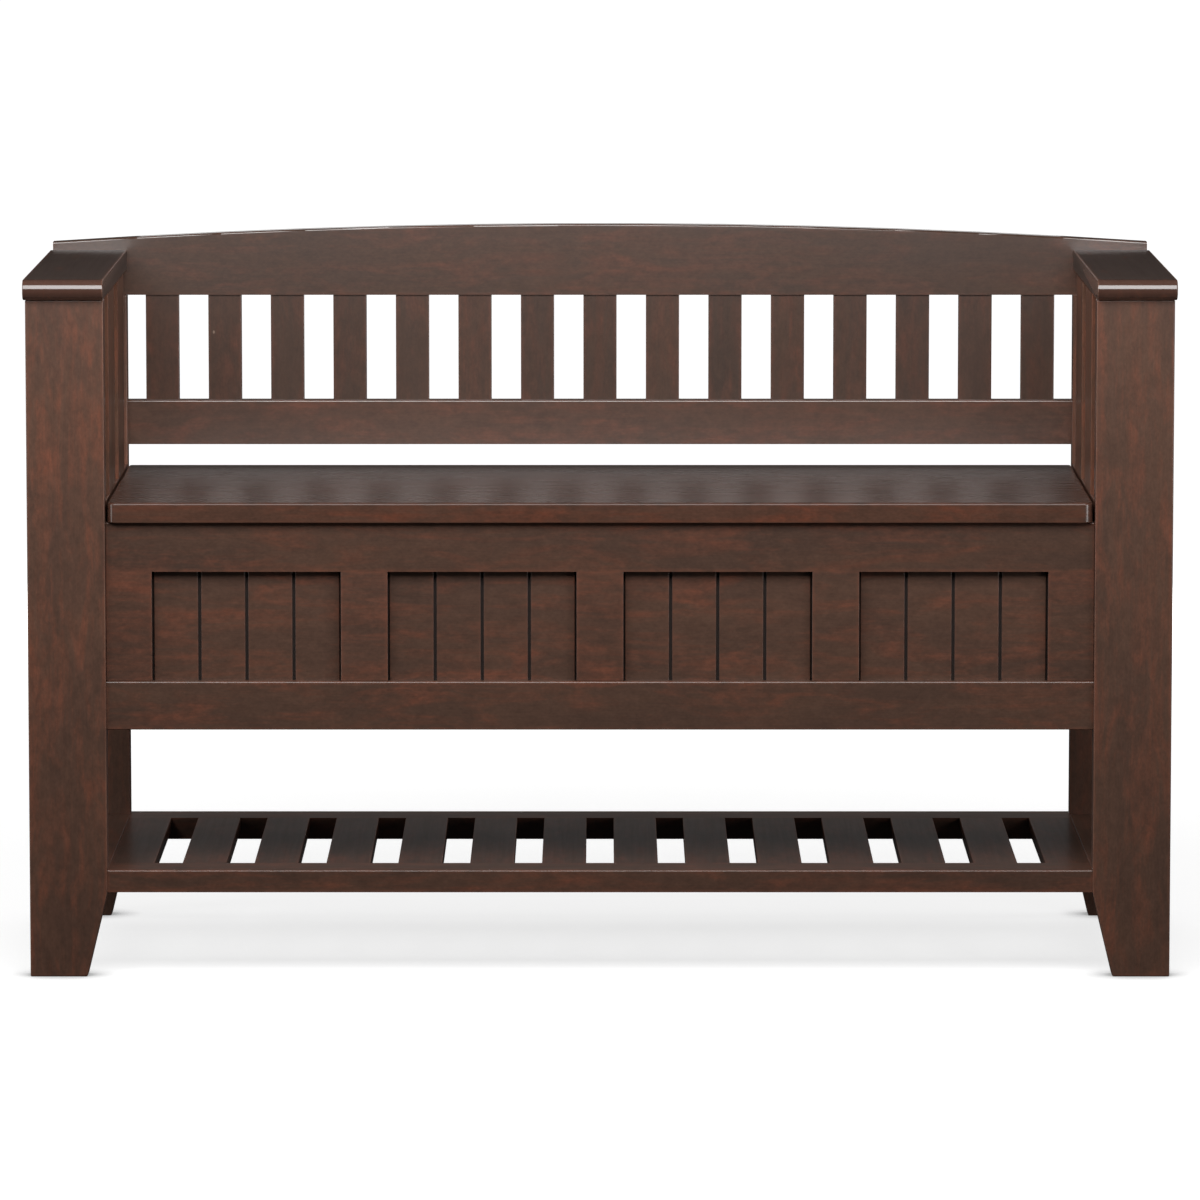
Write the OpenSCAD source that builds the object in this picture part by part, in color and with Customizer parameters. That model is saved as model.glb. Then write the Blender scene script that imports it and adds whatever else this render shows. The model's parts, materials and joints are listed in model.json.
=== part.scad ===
// Entryway storage bench: an arched, slatted back, two armrests, a seat that is
// the lid of a storage box, and a slatted shoe shelf near the floor.
// Millimetres, +Z up. The front faces -Y, and the origin is on the floor under
// the middle of the whole bench.

/* [Overall] */
// Width over the outer edges of the legs
legs_width = 1219; // [1000:1:1500]
// Depth from the front faces of the front legs to the back faces of the back legs
frame_depth = 438; // [400:1:520]
// Height of the seat's upper face above the floor
seat_height = 510; // [460:1:560]
// Height of the armrests' upper faces above the floor
arm_height = 748; // [700:1:800]
// Rise of the back's middle above the armrests
back_rise = 29; // [24:1:50]
// Radius of the rails' upper front edges
rail_edge_radius = 2; // [0.5:0.25:3]

/* [Legs] */
// Width of a leg board, seen from the front
leg_width = 83; // [72:1:110]
// Thickness of a leg board
leg_thickness = 25; // [22:1:36]
// Width of a leg at the floor, below its taper
foot_width = 61; // [45:1:68]

/* [Armrests] */
// Thickness of an armrest, whose front nose is a half round
arm_thickness = 22; // [20:1:34]
// Overhang of an armrest's nose in front of the leg
arm_front_overhang = 12; // [6:1:30]
// Overhang of an armrest past the leg's outer edge
arm_side_overhang = 2; // [0:0.5:12]
// Width of one of the two wide slats under an armrest
arm_slat_width = 104; // [60:1:130]
// Thickness of a slat under an armrest
arm_slat_thickness = 15; // [12:1:18]

/* [Back] */
// Thickness of the back's two rails
back_rail_thickness = 18; // [16:1:24]
// Height of the top rail at its middle
top_rail_height = 79; // [65:1:100]
// Rise of the top rail's arch from its ends to its middle
arch_rise = 20; // [8:1:22]
// Distance from a leg's outer edge in to the top rail's end
top_rail_inset = 1; // [0:0.5:10]
// Height of the lower rail
lower_rail_height = 49.5; // [40:0.5:70]
// Open height between the seat and the lower rail
lower_rail_gap = 21; // [18:1:60]
// Number of back slats
back_slat_count = 15; // [9:1:15]
// Width of a back slat
back_slat_width = 37; // [25:1:42]
// Thickness of a back slat
back_slat_thickness = 12; // [11:1:14]
// Gap between a leg and the first slat
back_end_gap = 20.5; // [10:0.5:40]

/* [Seat box] */
// Height of the storage box's walls
box_height = 222; // [180:1:250]
// Thickness of the box's side panels
side_panel_thickness = 18; // [17:1:22]
// Thickness of the box's back wall
box_back_thickness = 15; // [12:1:20]
// Thickness of the box's floor
box_floor_thickness = 6; // [4:1:12]
// Side of the square cleats that carry the box's floor
cleat_size = 18; // [14:1:24]
// Distance from the box's back wall to the back faces of the back legs
box_back_inset = 38; // [36:1:50]

/* [Apron] */
// Setback of the apron frame behind the front faces of the legs
apron_setback = 9; // [6:1:12]
// Thickness of the apron frame
apron_thickness = 18; // [16:1:24]
// Height of the apron's top rail
apron_top_rail_height = 52.5; // [35:0.5:70]
// Height of the bottom rail under the apron frame
bottom_rail_height = 52; // [40:1:70]
// How far the bottom rail stands in front of the apron frame
bottom_rail_proud = 2; // [0:0.5:5]
// Number of windows in the apron frame
window_count = 4; // [2:1:5]
// Width of the stiles between the windows
stile_width = 50; // [30:1:70]
// Width of the two end stiles
end_stile_width = 49; // [30:1:70]
// Thickness of the grooved panel behind the windows
bead_panel_thickness = 8; // [6:1:10]
// Overlap of the grooved panel behind the frame around it
bead_panel_lap = 12; // [8:1:20]
// Spacing of the grooves in the panel
groove_pitch = 50.25; // [30:0.25:80]
// Width of a groove
groove_width = 2.8; // [2:0.1:5]
// Depth of a groove
groove_depth = 3; // [2:0.1:5]
// Chamfer on both shoulders of a groove
groove_chamfer = 0.8; // [0.4:0.1:1.5]

/* [Lid] */
// Thickness of the lid, which is the seat board
lid_thickness = 22; // [18:1:28]
// Gap between the lid and the box's sides
lid_side_gap = 2; // [1:0.5:4]
// Setback of the lid's front edge behind the front faces of the legs
lid_setback = 1; // [0:0.5:6]
// Radius of the lid's two front corners, seen from above
lid_corner_radius = 10; // [5:1:30]
// Radius of the lid's upper edges, at its front and ends
lid_edge_radius = 3; // [1:0.5:4]
// Gap between the closed lid and the box's walls
lid_rest_gap = 0.3; // [0.1:0.1:0.8]
// Angle to which the lid opens
lid_open_angle = 78; // [60:1:78]

/* [Hinges] */
// Number of butt hinges along the lid
hinge_count = 3; // [2:1:5]
// Distance from the box's side to the middle of the outermost hinge
hinge_end_distance = 146; // [60:1:200]
// Length of a hinge
hinge_length = 62; // [40:1:90]
// Radius of a hinge's knuckles
knuckle_radius = 3.6; // [3:0.1:3.7]
// Number of knuckles in a hinge
knuckle_count = 5; // [3:2:7]
// Gap between neighbouring knuckles
knuckle_gap = 0.3; // [0.1:0.1:0.6]
// Radius of a hinge pin
hinge_pin_radius = 2; // [1.5:0.1:2.4]
// Thickness of a hinge leaf
leaf_thickness = 2; // [1.5:0.1:2.2]
// Height of the leaf on the box's back wall
box_leaf_height = 30; // [20:1:45]
// Height of the leaf on the lid's back edge
lid_leaf_height = 17; // [12:1:17]
// Radius of the screw holes in the leaves and brackets
screw_hole_radius = 2.2; // [1.6:0.1:2.4]

/* [Lid stays] */
// Gap between the tip of a folded stay and the box's floor
stay_floor_gap = 9; // [5:0.5:30]
// Depth of a stay's pivot under the lid
stay_drop = 12; // [11:0.5:14]
// Angle between the two pivots, seen from the hinge pins, when the lid is shut
stay_start_angle = 12; // [11:0.5:14]
// Distance from a stay's outer face to the box's side
stay_side_distance = 13; // [8:0.5:20]
// Thickness of a stay's slotted arm
stay_thickness = 2.5; // [2:0.1:4]
// Half of the width of a stay's arm
stay_half_width = 8; // [7:0.5:9]
// Radius of the pin that slides in the slot
slide_pin_radius = 3; // [2.5:0.1:4]
// Radius of the rivet at the stay's lid end
rivet_radius = 2.5; // [2:0.1:3.5]
// Thickness of the heads of the rivet and the slide pin
head_thickness = 2; // [1.5:0.1:2.5]
// How far those heads reach past the holes they cover
head_overlap = 2.6; // [2:0.1:3.2]
// Radius of the round foot that holds the slide pin on the box's side
pin_foot_radius = 11; // [9:0.5:14]
// Thickness of that foot
pin_foot_thickness = 1.5; // [1:0.1:2.5]
// Length of the bracket's flange under the lid, along the lid's depth
bracket_length = 44; // [30:1:60]
// Width of the bracket's flange
bracket_flange = 18; // [14:1:24]
// Thickness of the bracket's sheet
bracket_thickness = 2; // [1.5:0.1:3]

/* [Shoe shelf] */
// Height of the shelf's upper face above the floor
shelf_height = 115; // [90:1:160]
// Width of the shelf's front and back rails, seen from above
shelf_rail_width = 51; // [36:1:80]
// Thickness of the shelf's rails
shelf_rail_thickness = 24; // [20:1:30]
// Setback of the shelf's rails from the faces of the legs
shelf_setback = 2; // [0:0.5:8]
// Width of a side stretcher, which carries the shelf's end
stretcher_width = 52; // [36:1:64]
// Number of shelf slats
shelf_slat_count = 14; // [8:1:14]
// Width of a shelf slat
shelf_slat_width = 47.4; // [36:0.1:52]
// Thickness of a shelf slat
shelf_slat_thickness = 15; // [12:1:18]

/* [Joints and fits] */
// Length of the slats' tenons
tenon_length = 12; // [8:1:14]
// Thickness of the slats' tenons
tenon_thickness = 7; // [5:0.5:9]
// Shoulder left on each side of a slat's tenon
tenon_shoulder = 4; // [2:0.5:8]
// Length of the lower rail's tenons in the back legs
rail_tenon_length = 20; // [10:1:30]
// Thickness of the lower rail's tenons
rail_tenon_thickness = 9; // [6:1:12]
// Clearance round a tenon and under its end
tenon_fit = 0.2; // [0.1:0.05:0.4]
// Clearance round a panel in its rebate or between its walls
panel_fit = 0.5; // [0.2:0.1:0.8]
// Radial clearance of a hinge pin or rivet in its bore
pin_fit = 0.05; // [0.02:0.01:0.08]
// Clearance of a sliding piece, round and beside it
slide_fit = 0.3; // [0.2:0.05:0.5]

/* [Hidden] */
$fn = 64;
// Circumference of the arch's full circle per side of its drawn polygon
arch_step = 12;
cut = 1;

wood_dark = "#4a3530";
wood_seat = "#554541";
wood_panel = "#453330";
ply = "#a58a63";
steel = "#9a9a98";

inner_half = legs_width / 2 - leg_width;
total_depth = arm_front_overhang + frame_depth;
front_y = arm_front_overhang - total_depth / 2;
back_y = front_y + frame_depth;
behind_front_legs_y = front_y + leg_thickness;
before_back_legs_y = back_y - leg_thickness;
before_back_rails_y = back_y - back_rail_thickness;

back_height = arm_height + back_rise;
top_rail_bottom = back_height - top_rail_height;
top_rail_half_length = legs_width / 2 - top_rail_inset;
arch_radius = (top_rail_half_length ^ 2 + arch_rise ^ 2) / (2 * arch_rise);
arch_half_angle = asin((top_rail_half_length + cut) / (arch_radius - rail_edge_radius));
arch_sides = 4 * round(PI * arch_radius / 2 / arch_step);
lower_rail_bottom = seat_height + lower_rail_gap;
lower_rail_top = lower_rail_bottom + lower_rail_height;
back_rail_middle_y = back_y - back_rail_thickness / 2;
back_slat_pitch = (2 * inner_half - 2 * back_end_gap - back_slat_width) / (back_slat_count - 1);

lid_bottom = seat_height - lid_thickness;
box_top = lid_bottom - lid_rest_gap;
box_bottom = box_top - box_height;
box_back_outer_y = back_y - box_back_inset;
box_back_inner_y = box_back_outer_y - box_back_thickness;
window_bottom = box_bottom + bottom_rail_height;
window_top = box_top - apron_top_rail_height;
apron_front_y = front_y + apron_setback;
apron_back_y = apron_front_y + apron_thickness;
bead_panel_front_y = apron_back_y - bead_panel_thickness;
bead_panel_half = inner_half - end_stile_width + bead_panel_lap;
window_width = (2 * (inner_half - end_stile_width) - (window_count - 1) * stile_width) / window_count;

hinge_y = box_back_outer_y + knuckle_radius + 0.4;
hinge_z = lid_bottom;
hinge_pitch = 2 * (inner_half - hinge_end_distance) / (hinge_count - 1);
knuckle_length = (hinge_length - (knuckle_count - 1) * knuckle_gap) / knuckle_count;
leaf_clearance = knuckle_radius + 0.5;

// Both pivots of a stay lie at one distance from the hinge pins, its reach, so
// the arm turns by exactly half of the lid's angle. The slot is as long as the
// lid's angle asks for, and the reach is what lets the folded arm hang clear of
// the box's floor.
slot_half_width = slide_pin_radius + slide_fit;
floor_top = box_bottom + cleat_size + box_floor_thickness;
stay_hang = hinge_z - floor_top - stay_floor_gap - stay_drop - stay_half_width - slot_half_width;
slot_end_per_reach = 2 * sin((stay_start_angle + lid_open_angle) / 2);
stay_forward = (stay_hang / slot_end_per_reach + stay_drop * sin(stay_start_angle / 2))
    / cos(stay_start_angle / 2);
stay_reach = norm([stay_forward, stay_drop]);
box_pivot_angle = asin(stay_drop / stay_reach) + stay_start_angle;
lid_pivot = [hinge_y - stay_forward, hinge_z - stay_drop];
box_pivot = [hinge_y - stay_reach * cos(box_pivot_angle), hinge_z - stay_reach * sin(box_pivot_angle)];
stay_angle = atan2(box_pivot[1] - lid_pivot[1], box_pivot[0] - lid_pivot[0]);
slot_start = 2 * stay_reach * sin(stay_start_angle / 2);
slot_end = slot_end_per_reach * stay_reach;
stay_outer_x = inner_half - stay_side_distance;
stay_inner_x = stay_outer_x - stay_thickness;
bracket_x = stay_inner_x - slide_fit - bracket_thickness;

shelf_bottom = shelf_height - shelf_rail_thickness;
shelf_front_y = front_y + shelf_setback;
shelf_back_y = back_y - shelf_setback;
shelf_slat_gap = (2 * inner_half - shelf_slat_count * shelf_slat_width) / (shelf_slat_count - 1);

arm_inner = inner_half;
arm_outer = legs_width / 2 + arm_side_overhang;
arm_bottom = arm_height - arm_thickness;
arm_slat_gap = (before_back_legs_y - behind_front_legs_y - 2 * arm_slat_width) / 3;
arm_slat_middle_x = inner_half + arm_slat_thickness / 2;

function numbered(name, i) = str(name, i < 10 ? "_0" : "_", i);

// A board given by its low and high corner
module board(low, high) {
    translate(low) cube(high - low);
}

// What rounding takes off an upper front edge at the origin, drawn in (y, z)
module upper_edge_waste() {
    difference() {
        translate([-cut, -rail_edge_radius]) square(rail_edge_radius + cut);
        translate([rail_edge_radius, -rail_edge_radius]) circle(rail_edge_radius);
    }
}

// A board along X with its upper front edge rounded
module rail(low, high) {
    side_drawing(low[0], high[0] - low[0]) difference() {
        translate([low[1], low[2]]) square([high[1] - low[1], high[2] - low[2]]);
        translate([low[1], high[2]]) upper_edge_waste();
    }
}

// Draws its children, then their mirror image on the other side
module both_sides() {
    children();
    mirror([1, 0, 0]) children();
}

// Stands a drawing made in (y, z) at the side position x, growing towards +X
module side_drawing(x, thickness) {
    translate([x, 0, 0]) rotate([90, 0, 90]) linear_extrude(thickness) children();
}

// A flat bar with round ends, drawn from one end's middle to the other's
module round_bar(start, end, half_width) {
    translate([start, 0]) circle(half_width);
    translate([end, 0]) circle(half_width);
    translate([start, -half_width]) square([end - start, 2 * half_width]);
}

// A cylinder along X
module rod_x(x0, x1, y, z, radius) {
    translate([x0, y, z]) rotate([0, 90, 0]) cylinder(h = x1 - x0, r = radius);
}

// A cylinder along Y
module rod_y(x, y0, y1, z, radius) {
    translate([x, y0, z]) rotate([-90, 0, 0]) cylinder(h = y1 - y0, r = radius);
}

// The outline of a leg seen from the front, on the right-hand side
module leg_outline(top) {
    polygon([
        [legs_width / 2, 0], [legs_width / 2, top], [inner_half, top],
        [inner_half, shelf_bottom], [legs_width / 2 - foot_width, 0],
    ]);
}

module front_leg_right() {
    color(wood_dark)
        translate([0, behind_front_legs_y, 0])
            rotate([90, 0, 0]) linear_extrude(leg_thickness) leg_outline(arm_bottom);
}

module back_leg_right() {
    color(wood_dark) difference() {
        translate([0, back_y, 0])
            rotate([90, 0, 0]) linear_extrude(leg_thickness) leg_outline(top_rail_bottom);
        lower_rail_tenon(tenon_fit);
    }
}

module front_leg_left() { mirror([1, 0, 0]) front_leg_right(); }
module back_leg_left() { mirror([1, 0, 0]) back_leg_right(); }

// The armrest's side outline: a flat board with a half-round nose
module armrest_right() {
    nose = arm_thickness / 2;
    nose_y = front_y - arm_front_overhang + nose;
    color(wood_dark) difference() {
        side_drawing(arm_inner, arm_outer - arm_inner) {
            translate([nose_y, arm_bottom + nose]) circle(nose);
            translate([nose_y, arm_bottom]) square([before_back_rails_y - nose_y, arm_thickness]);
        }
        arm_slat_tenons(tenon_fit);
    }
}

module armrest_left() { mirror([1, 0, 0]) armrest_right(); }

// The tenons on both ends of both slats under the right armrest; a fit above 0
// makes the mortises that take them
module arm_slat_tenons(fit) {
    for (i = [0:1]) {
        y = behind_front_legs_y + arm_slat_gap + i * (arm_slat_width + arm_slat_gap);
        board(
            [arm_slat_middle_x - tenon_thickness / 2 - fit, y + tenon_shoulder - fit,
             seat_height - tenon_length - fit],
            [arm_slat_middle_x + tenon_thickness / 2 + fit, y + arm_slat_width - tenon_shoulder + fit,
             arm_bottom + tenon_length + fit]);
    }
}

module arm_slats_right() {
    color(wood_dark) {
        for (i = [0:1]) {
            y = behind_front_legs_y + arm_slat_gap + i * (arm_slat_width + arm_slat_gap);
            board([inner_half, y, seat_height], [inner_half + arm_slat_thickness, y + arm_slat_width, arm_bottom]);
        }
        arm_slat_tenons(0);
    }
}

module arm_slats_left() { mirror([1, 0, 0]) arm_slats_right(); }

module side_panel_right() {
    color(wood_dark) difference() {
        board([inner_half, behind_front_legs_y, box_bottom],
              [inner_half + side_panel_thickness, before_back_legs_y, seat_height]);
        arm_slat_tenons(tenon_fit);
    }
}

module side_panel_left() { mirror([1, 0, 0]) side_panel_right(); }

module side_stretcher_right() {
    color(wood_dark)
        board([inner_half, behind_front_legs_y, shelf_bottom],
              [inner_half + stretcher_width, before_back_legs_y, shelf_height]);
}

module side_stretcher_left() { mirror([1, 0, 0]) side_stretcher_right(); }

// A back slat's tenon, or its mortise when fit is above 0
module back_slat_tenon(i, fit) {
    x = back_slat_x(i);
    half = back_slat_width / 2 - tenon_shoulder;
    board([x - half - fit, back_rail_middle_y - tenon_thickness / 2 - fit, lower_rail_top - tenon_length - fit],
          [x + half + fit, back_rail_middle_y + tenon_thickness / 2 + fit, top_rail_bottom + tenon_length + fit]);
}

function back_slat_x(i) = (i - (back_slat_count + 1) / 2) * back_slat_pitch;

module back_slat(i) {
    half = back_slat_width / 2;
    x = back_slat_x(i);
    color(wood_dark) {
        board([x - half, back_rail_middle_y - back_slat_thickness / 2, lower_rail_top],
              [x + half, back_rail_middle_y + back_slat_thickness / 2, top_rail_bottom]);
        back_slat_tenon(i, 0);
    }
}

// The arch is the top of one very wide circle
module back_top_rail() {
    color(wood_dark) difference() {
        translate([0, back_y, 0]) rotate([90, 0, 0]) linear_extrude(back_rail_thickness) intersection() {
            translate([-top_rail_half_length, top_rail_bottom])
                square([2 * top_rail_half_length, top_rail_height + cut]);
            translate([0, back_height - arch_radius])
                circle(arch_radius, $fn = arch_sides);
        }
        translate([0, before_back_rails_y, back_height - arch_radius]) rotate([90, 0, 0])
            rotate(90 - arch_half_angle) rotate_extrude(angle = 2 * arch_half_angle, $fn = arch_sides)
                translate([arch_radius, 0]) rotate(-90) upper_edge_waste();
        for (i = [1:back_slat_count]) back_slat_tenon(i, tenon_fit);
    }
}

// The lower rail's tenon in the right back leg, or its mortise
module lower_rail_tenon(fit) {
    board([inner_half - cut, back_rail_middle_y - rail_tenon_thickness / 2 - fit,
           lower_rail_bottom + 2 * tenon_shoulder - fit],
          [inner_half + rail_tenon_length + fit, back_rail_middle_y + rail_tenon_thickness / 2 + fit,
           lower_rail_top - 2 * tenon_shoulder + fit]);
}

module back_lower_rail() {
    color(wood_dark) difference() {
        union() {
            rail([-inner_half, before_back_rails_y, lower_rail_bottom], [inner_half, back_y, lower_rail_top]);
            both_sides() lower_rail_tenon(0);
        }
        for (i = [1:back_slat_count]) back_slat_tenon(i, tenon_fit);
    }
}

// The pocket in the back of the apron that takes the grooved panel
module bead_panel_pocket() {
    board([-bead_panel_half - panel_fit, bead_panel_front_y, window_bottom - bead_panel_lap - panel_fit],
          [bead_panel_half + panel_fit, apron_back_y + cut, window_top + bead_panel_lap + panel_fit]);
}

// The top rail and the stiles of the apron, glued up as one frame
module apron_frame() {
    color(wood_dark) difference() {
        board([-inner_half, apron_front_y, window_bottom], [inner_half, apron_back_y, box_top]);
        for (i = [0:window_count - 1]) {
            x = -inner_half + end_stile_width + i * (window_width + stile_width);
            board([x, apron_front_y - cut, window_bottom - cut], [x + window_width, apron_back_y + cut, window_top]);
        }
        bead_panel_pocket();
    }
}

module apron_bottom_rail() {
    color(wood_dark) difference() {
        rail([-inner_half, apron_front_y - bottom_rail_proud, box_bottom],
             [inner_half, apron_back_y, window_bottom]);
        bead_panel_pocket();
    }
}

// A sheet with upright grooves, spread evenly to both sides of the middle
module bead_panel() {
    half_count = floor((bead_panel_half - groove_width) / groove_pitch + 0.5);
    bottom = window_bottom - bead_panel_lap;
    color(wood_panel) translate([0, 0, bottom])
        linear_extrude(window_top + bead_panel_lap - bottom) difference() {
            translate([-bead_panel_half, bead_panel_front_y])
                square([2 * bead_panel_half, bead_panel_thickness]);
            for (i = [0:half_count - 1]) {
                both_sides() translate([(i + 0.5) * groove_pitch, bead_panel_front_y]) groove_outline();
            }
        }
}

// A groove seen from above: straight walls under two chamfered shoulders
module groove_outline() {
    wall = groove_width / 2;
    mouth = wall + groove_chamfer;
    polygon([
        [-mouth, -cut], [-mouth, 0], [-wall, groove_chamfer], [-wall, groove_depth],
        [wall, groove_depth], [wall, groove_chamfer], [mouth, 0], [mouth, -cut],
    ]);
}

module box_back() {
    color(wood_dark)
        board([-inner_half, box_back_inner_y, box_bottom], [inner_half, box_back_outer_y, box_top]);
}

module box_floor() {
    color(ply)
        board([-inner_half + panel_fit, apron_back_y + panel_fit, box_bottom + cleat_size],
              [inner_half - panel_fit, box_back_inner_y - panel_fit, floor_top]);
}

module floor_cleats() {
    z = [box_bottom, box_bottom + cleat_size];
    end = inner_half - cleat_size - panel_fit;
    color(ply) {
        both_sides() board([inner_half - cleat_size, apron_back_y, z[0]], [inner_half, box_back_inner_y, z[1]]);
        board([-end, apron_back_y, z[0]], [end, apron_back_y + cleat_size, z[1]]);
        board([-end, box_back_inner_y - cleat_size, z[0]], [end, box_back_inner_y, z[1]]);
    }
}

function shelf_slat_left_x(i) = -inner_half + (i - 1) * (shelf_slat_width + shelf_slat_gap);

// A shelf slat's tenon through both ends, or its mortise when fit is above 0
module shelf_slat_tenon(i, fit) {
    x = shelf_slat_left_x(i);
    z = shelf_height - shelf_slat_thickness / 2;
    board([x + tenon_shoulder - fit, shelf_front_y + shelf_rail_width - tenon_length - fit,
           z - tenon_thickness / 2 - fit],
          [x + shelf_slat_width - tenon_shoulder + fit, shelf_back_y - shelf_rail_width + tenon_length + fit,
           z + tenon_thickness / 2 + fit]);
}

module shelf_slat(i) {
    x = shelf_slat_left_x(i);
    color(wood_dark) {
        board([x, shelf_front_y + shelf_rail_width, shelf_height - shelf_slat_thickness],
              [x + shelf_slat_width, shelf_back_y - shelf_rail_width, shelf_height]);
        shelf_slat_tenon(i, 0);
    }
}

module shelf_front_rail() {
    color(wood_dark) difference() {
        rail([-inner_half, shelf_front_y, shelf_bottom],
             [inner_half, shelf_front_y + shelf_rail_width, shelf_height]);
        for (i = [1:shelf_slat_count]) shelf_slat_tenon(i, tenon_fit);
    }
}

module shelf_back_rail() {
    color(wood_dark) difference() {
        board([-inner_half, shelf_back_y - shelf_rail_width, shelf_bottom],
              [inner_half, shelf_back_y, shelf_height]);
        for (i = [1:shelf_slat_count]) shelf_slat_tenon(i, tenon_fit);
    }
}

// One leaf of a butt hinge, rising from the pin's line. First is 0 for the leaf
// that has the end knuckles and 1 for the other.
module hinge_leaf(first, height) {
    face_y = box_back_outer_y - hinge_y;
    difference() {
        union() {
            board([-hinge_length / 2, face_y, leaf_clearance],
                  [hinge_length / 2, face_y + leaf_thickness, height]);
            for (i = [first:2:knuckle_count - 1]) {
                x = -hinge_length / 2 + i * (knuckle_length + knuckle_gap);
                board([x, face_y, 0], [x + knuckle_length, face_y + leaf_thickness, height]);
                rod_x(x, x + knuckle_length, 0, 0, knuckle_radius);
            }
        }
        rod_x(-hinge_length / 2 - cut, hinge_length / 2 + cut, 0, 0, hinge_pin_radius + pin_fit);
        for (side = [-1, 1]) {
            rod_y(side * hinge_length / 3, face_y - cut, face_y + leaf_thickness + cut,
                  (height + leaf_clearance) / 2, screw_hole_radius);
        }
    }
}

module at_hinges() {
    for (i = [0:hinge_count - 1]) {
        translate([-inner_half + hinge_end_distance + i * hinge_pitch, hinge_y, hinge_z]) children();
    }
}

module hinge_box_leaves() {
    color(steel) at_hinges() mirror([0, 0, 1]) hinge_leaf(0, box_leaf_height);
}

module hinge_lid_leaves() {
    color(steel) at_hinges() hinge_leaf(1, lid_leaf_height);
}

module hinge_pins() {
    head_length = hinge_pin_radius / 2;
    color(steel) at_hinges() {
        rod_x(-hinge_length / 2 - head_length, hinge_length / 2 + head_length, 0, 0, hinge_pin_radius);
        for (x = [-hinge_length / 2 - head_length, hinge_length / 2]) {
            rod_x(x, x + head_length, 0, 0, (hinge_pin_radius + knuckle_radius) / 2);
        }
    }
}

module lid_board() {
    half = inner_half - lid_side_gap;
    front = front_y + lid_setback;
    r = lid_corner_radius;
    color(wood_seat) difference() {
        translate([0, 0, lid_bottom]) linear_extrude(lid_thickness) difference() {
            translate([-half, front]) square([2 * half, box_back_outer_y - front]);
            both_sides() difference() {
                translate([half - r, front - cut]) square([r + cut, r + cut]);
                translate([half - r, front + r]) circle(r);
            }
        }
        lid_edge_waste(half, front);
    }
}

// What rounding takes off the lid's upper edges, at the front, the ends and the
// two corners between them
module lid_edge_waste(half, front) {
    r = lid_edge_radius;
    z = seat_height - r;
    corner = [half - lid_corner_radius, front + lid_corner_radius];
    difference() {
        board([-corner[0], front - cut, z], [corner[0], front + r, seat_height + cut]);
        rod_x(-corner[0] - cut, corner[0] + cut, front + r, z, r);
    }
    both_sides() {
        difference() {
            board([half - r, corner[1], z], [half + cut, box_back_outer_y + cut, seat_height + cut]);
            rod_y(half - r, corner[1] - cut, box_back_outer_y + 2 * cut, z, r);
        }
        translate([corner[0], corner[1], z]) rotate([0, 0, -90]) rotate_extrude(angle = 90) difference() {
            translate([lid_corner_radius - r, 0]) square(r + cut);
            translate([lid_corner_radius - r, 0]) circle(r);
        }
    }
}

// The headed pin on the box's side: a round foot, a collar that sets the arm's
// distance, the pin itself and its head
module stay_box_pins() {
    y = box_pivot[0];
    z = box_pivot[1];
    head_x = stay_inner_x - slide_fit;
    color(steel) both_sides() {
        rod_x(inner_half - pin_foot_thickness, inner_half, y, z, pin_foot_radius);
        rod_x(stay_outer_x + slide_fit, inner_half, y, z, slide_pin_radius + head_overlap);
        rod_x(head_x - head_thickness, inner_half, y, z, slide_pin_radius);
        rod_x(head_x - head_thickness, head_x, y, z, slide_pin_radius + head_overlap);
    }
}

// The angle bracket under the lid, with the rivet that carries the arm
module stay_lid_brackets() {
    y = lid_pivot[0];
    z = lid_pivot[1];
    head_x = stay_outer_x + slide_fit;
    color(steel) both_sides() {
        side_drawing(bracket_x, bracket_thickness) {
            translate([y, z]) circle(stay_half_width);
            translate([y - stay_half_width, z]) square([2 * stay_half_width, stay_drop]);
        }
        difference() {
            board([bracket_x + bracket_thickness - bracket_flange, y - bracket_length / 2,
                   lid_bottom - bracket_thickness],
                  [bracket_x + bracket_thickness, y + bracket_length / 2, lid_bottom]);
            for (side = [-1, 1]) {
                translate([bracket_x - bracket_flange / 2 + bracket_thickness,
                           y + side * bracket_length / 3, lid_bottom - bracket_thickness - cut])
                    cylinder(h = bracket_thickness + 2 * cut, r = screw_hole_radius);
            }
        }
        rod_x(bracket_x, head_x + head_thickness, y, z, rivet_radius);
        rod_x(head_x, head_x + head_thickness, y, z, rivet_radius + head_overlap);
    }
}

// A bar that hangs from the lid's bracket, with a long slot for the box's pin
module stay_arm_right() {
    tip = slot_end + slot_half_width;
    color(steel) side_drawing(stay_inner_x, stay_thickness)
        translate(lid_pivot) rotate(stay_angle) difference() {
            round_bar(0, tip, stay_half_width);
            circle(rivet_radius + pin_fit);
            round_bar(slot_start, slot_end, slot_half_width);
        }
}

module stay_arm_left() { mirror([1, 0, 0]) stay_arm_right(); }

front_leg_left();
front_leg_right();
back_leg_left();
back_leg_right();
armrest_left();
armrest_right();
arm_slats_left();
arm_slats_right();
side_panel_left();
side_panel_right();
side_stretcher_left();
side_stretcher_right();
back_top_rail();
back_lower_rail();
for (i = [1:back_slat_count]) {
    back_slat(i);
}
apron_frame();
apron_bottom_rail();
bead_panel();
box_back();
box_floor();
floor_cleats();
shelf_front_rail();
shelf_back_rail();
for (i = [1:shelf_slat_count]) {
    shelf_slat(i);
}
hinge_box_leaves();
hinge_lid_leaves();
hinge_pins();
lid_board();
stay_box_pins();
stay_lid_brackets();
stay_arm_left();
stay_arm_right();
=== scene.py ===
import json
import random
from math import cos, pi, radians, sin

import bmesh
import bpy
from mathutils import Matrix, Vector


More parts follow.
